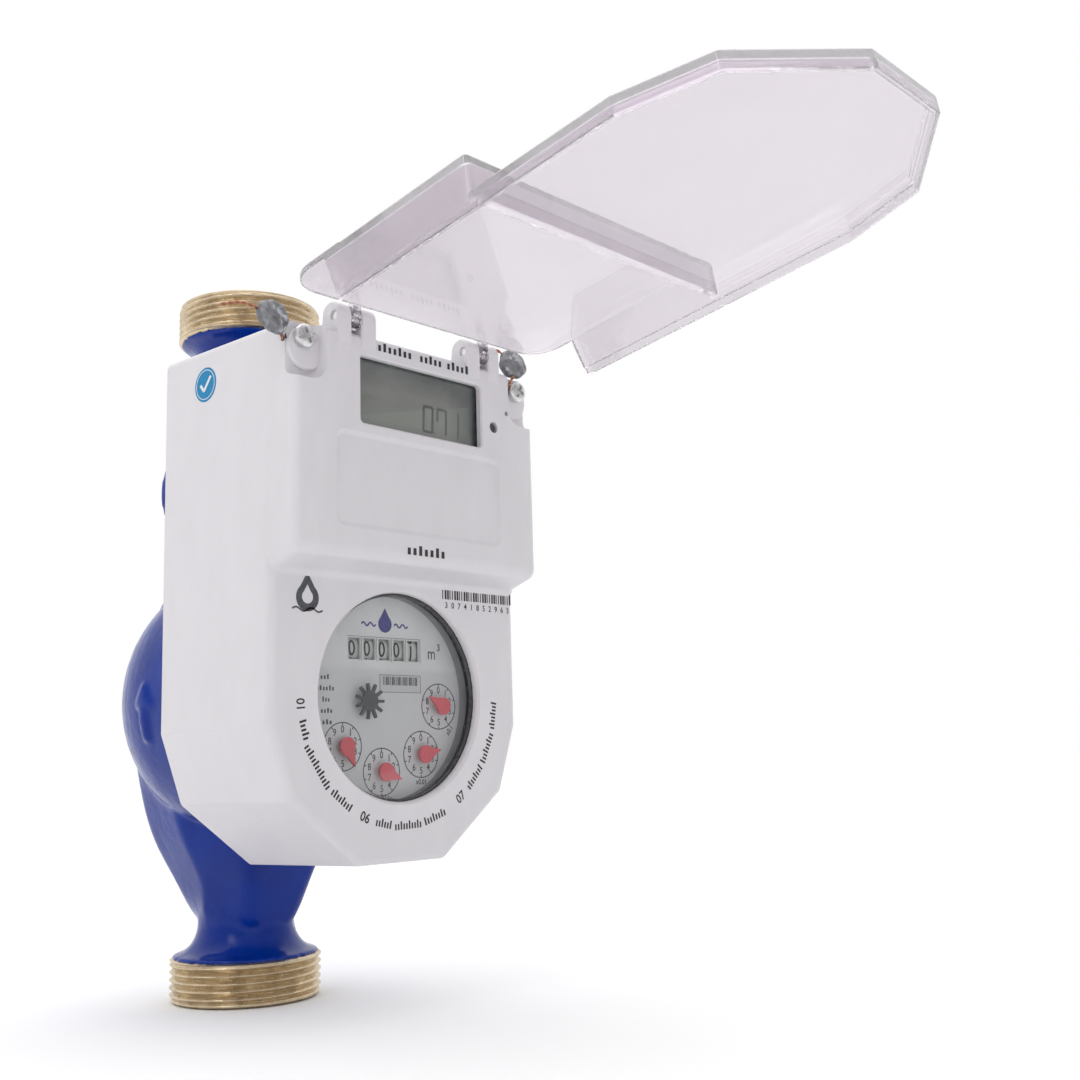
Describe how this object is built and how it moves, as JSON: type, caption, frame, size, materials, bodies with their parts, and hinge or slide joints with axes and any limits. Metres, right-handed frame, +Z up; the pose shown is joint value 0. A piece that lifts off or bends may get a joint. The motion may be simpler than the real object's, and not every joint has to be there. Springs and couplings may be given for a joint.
{
  "type": "prepaid water meter",
  "caption": "Prepaid water meter: threaded pipe body with metering chamber and motorised ball valve, pointer-and-drum register, electronics housing with display, and hinged clear lid.",
  "frame": {"origin": "centre of the lower threaded end face, on the pipe's axis", "axes": "+Z up along the pipe, +X to the right along the face, +Y from the face to the back (the dial looks along -Y)"},
  "size_m": [0.1174, 0.2859, 0.23],
  "materials": {
    "blue_enamel": "glossy baked enamel on cast brass",
    "brass": "machined",
    "white_plastic": "satin moulded",
    "grey_plastic": "moulded",
    "dark_plastic": "moulded",
    "red_plastic": "moulded",
    "clear_plastic": "clear moulded plastic, faint pink tint",
    "lens": "clear",
    "lcd": "grey-green display glass",
    "steel": "nickel plated",
    "seal_lead": "dull crimped lead",
    "copper": "twisted copper wire",
    "dial_print": "printed",
    "board_green": "solder mask",
    "battery_wrap": "shrink wrap"
  },
  "bodies": {
    "root": {"meter_body": "blue_enamel", "inlet_strainer": "grey_plastic", "chamber_cup": "grey_plastic", "impeller_pivot": "steel", "chamber_cover": "grey_plastic", "pressure_plate": "brass", "locking_ring": "brass", "register_case": "dark_plastic", "register_lens": "lens", "bezel_ring": "dark_plastic", "dial_plate": "dial_print", "drum_frame": "grey_plastic", "drum_shaft": "steel", "rear_housing": "white_plastic", "front_cover": "white_plastic", "lcd_window": "lens", "lcd_module": "lcd", "circuit_board": "board_green", "battery_cell": "battery_wrap", "reed_sensor": "dark_plastic", "valve_bonnet": "brass", "valve_seat_lower": "white_plastic", "valve_seat_upper": "white_plastic", "gearbox_case": "grey_plastic", "valve_motor": "steel", "housing_screw_left": "steel", "housing_screw_right": "steel", "hinge_pin_left": "steel", "hinge_pin_right": "steel", "lead_seal_left": "seal_lead", "lead_seal_right": "seal_lead", "seal_wire_left": "copper", "seal_wire_right": "copper"},
    "impeller_set": {"impeller": "white_plastic", "follower_magnet": "dark_plastic"},
    "star_set": {"star_arbor": "white_plastic", "leak_star": "dark_plastic"},
    "valve_set": {"valve_ball": "steel", "valve_stem": "steel", "valve_gear": "white_plastic"},
    "motor_set": {"motor_pinion": "brass"},
    "lid": {"clear_lid": "clear_plastic"},
    "button": {"display_button": "dark_plastic"},
    "dial_set_1": {"pointer_arbor_1": "white_plastic", "pointer_1": "red_plastic"},
    "transfer_set_0": {"transfer_arbor_0": "white_plastic"},
    "dial_set_2": {"pointer_arbor_2": "white_plastic", "pointer_2": "red_plastic"},
    "transfer_set_1": {"transfer_arbor_1": "white_plastic"},
    "dial_set_3": {"pointer_arbor_3": "white_plastic", "pointer_3": "red_plastic"},
    "transfer_set_2": {"transfer_arbor_2": "white_plastic"},
    "dial_set_4": {"pointer_arbor_4": "white_plastic", "pointer_4": "red_plastic"},
    "transfer_set_3": {"transfer_arbor_3": "white_plastic"},
    "drum_set_1": {"drum_1": "white_plastic"},
    "drum_set_2": {"drum_2": "white_plastic"},
    "drum_set_3": {"drum_3": "white_plastic"},
    "drum_set_4": {"drum_4": "white_plastic"},
    "drum_set_5": {"drum_5": "white_plastic"}
  },
  "joints": [
    {"name": "dial_1_spin", "type": "hinge", "parent": "root", "child": "dial_set_1", "pos_m": [-0.01632, -0.05, 0.07731], "axis": [0, 1, 0], "continuous": true},
    {"name": "impeller_spin", "type": "hinge", "parent": "root", "child": "impeller_set", "pos_m": [0, -0.012, 0.0916], "axis": [0, 1, 0], "continuous": true},
    {"name": "star_spin", "type": "hinge", "parent": "root", "child": "star_set", "pos_m": [-0.0079, -0.05, 0.0903], "axis": [0, 1, 0], "continuous": true},
    {"name": "transfer_0_spin", "type": "hinge", "parent": "root", "child": "transfer_set_0", "pos_m": [-0.01237, -0.05, 0.0834], "axis": [0, 1, 0], "continuous": true},
    {"name": "transfer_1_spin", "type": "hinge", "parent": "root", "child": "transfer_set_1", "pos_m": [-0.0074, -0.05, 0.07609], "axis": [0, 1, 0], "continuous": true},
    {"name": "transfer_2_spin", "type": "hinge", "parent": "root", "child": "transfer_set_2", "pos_m": [0.00531, -0.05, 0.07523], "axis": [0, 1, 0], "continuous": true},
    {"name": "transfer_3_spin", "type": "hinge", "parent": "root", "child": "transfer_set_3", "pos_m": [0.01491, -0.05, 0.0836], "axis": [0, 1, 0], "continuous": true},
    {"name": "dial_2_spin", "type": "hinge", "parent": "root", "child": "dial_set_2", "pos_m": [-0.00186, -0.05, 0.06978], "axis": [0, 1, 0], "continuous": true},
    {"name": "dial_3_spin", "type": "hinge", "parent": "root", "child": "dial_set_3", "pos_m": [0.01369, -0.05, 0.07468], "axis": [0, 1, 0], "continuous": true},
    {"name": "dial_4_spin", "type": "hinge", "parent": "root", "child": "dial_set_4", "pos_m": [0.02122, -0.05, 0.08914], "axis": [0, 1, 0], "continuous": true},
    {"name": "drum_1_spin", "type": "hinge", "parent": "root", "child": "drum_set_1", "pos_m": [0.0112, -0.0604, 0.1058], "axis": [1, 0, 0], "continuous": true},
    {"name": "drum_2_spin", "type": "hinge", "parent": "root", "child": "drum_set_2", "pos_m": [0.00546, -0.0604, 0.1058], "axis": [1, 0, 0], "continuous": true},
    {"name": "drum_3_spin", "type": "hinge", "parent": "root", "child": "drum_set_3", "pos_m": [-0.00028, -0.0604, 0.1058], "axis": [1, 0, 0], "continuous": true},
    {"name": "drum_4_spin", "type": "hinge", "parent": "root", "child": "drum_set_4", "pos_m": [-0.00602, -0.0604, 0.1058], "axis": [1, 0, 0], "continuous": true},
    {"name": "drum_5_spin", "type": "hinge", "parent": "root", "child": "drum_set_5", "pos_m": [-0.01176, -0.0604, 0.1058], "axis": [1, 0, 0], "continuous": true},
    {"name": "valve_turn", "type": "hinge", "parent": "root", "child": "valve_set", "pos_m": [0, 0, 0.166], "axis": [0, 1, 0], "range_deg": [0, 90]},
    {"name": "motor_spin", "type": "hinge", "parent": "root", "child": "motor_set", "pos_m": [0.02, 0, 0.166], "axis": [0, 1, 0], "range_deg": [-360, 0]},
    {"name": "lid_hinge", "type": "hinge", "parent": "root", "child": "lid", "pos_m": [0, -0.0876, 0.1985], "axis": [1, 0, 0], "range_deg": [-20, 99.5]},
    {"name": "button_press", "type": "slide", "parent": "root", "child": "button", "axis": [0, 1, 0], "range_m": [0, 0.001], "stiffness_N_per_m": 300}
  ],
  "couplings": [
    {"joint": "impeller_spin", "follows": "dial_1_spin", "ratio": -12.5},
    {"joint": "star_spin", "follows": "dial_1_spin", "ratio": 7.5},
    {"joint": "transfer_0_spin", "follows": "dial_1_spin", "ratio": -2.5},
    {"joint": "transfer_1_spin", "follows": "dial_1_spin", "ratio": -0.25},
    {"joint": "dial_2_spin", "follows": "dial_1_spin", "ratio": 0.1},
    {"joint": "transfer_2_spin", "follows": "dial_1_spin", "ratio": -0.025},
    {"joint": "dial_3_spin", "follows": "dial_1_spin", "ratio": 0.01},
    {"joint": "transfer_3_spin", "follows": "dial_1_spin", "ratio": -0.0025},
    {"joint": "dial_4_spin", "follows": "dial_1_spin", "ratio": 0.001},
    {"joint": "drum_1_spin", "follows": "dial_1_spin", "ratio": 0.0001},
    {"joint": "motor_spin", "follows": "valve_turn", "ratio": -4}
  ]
}
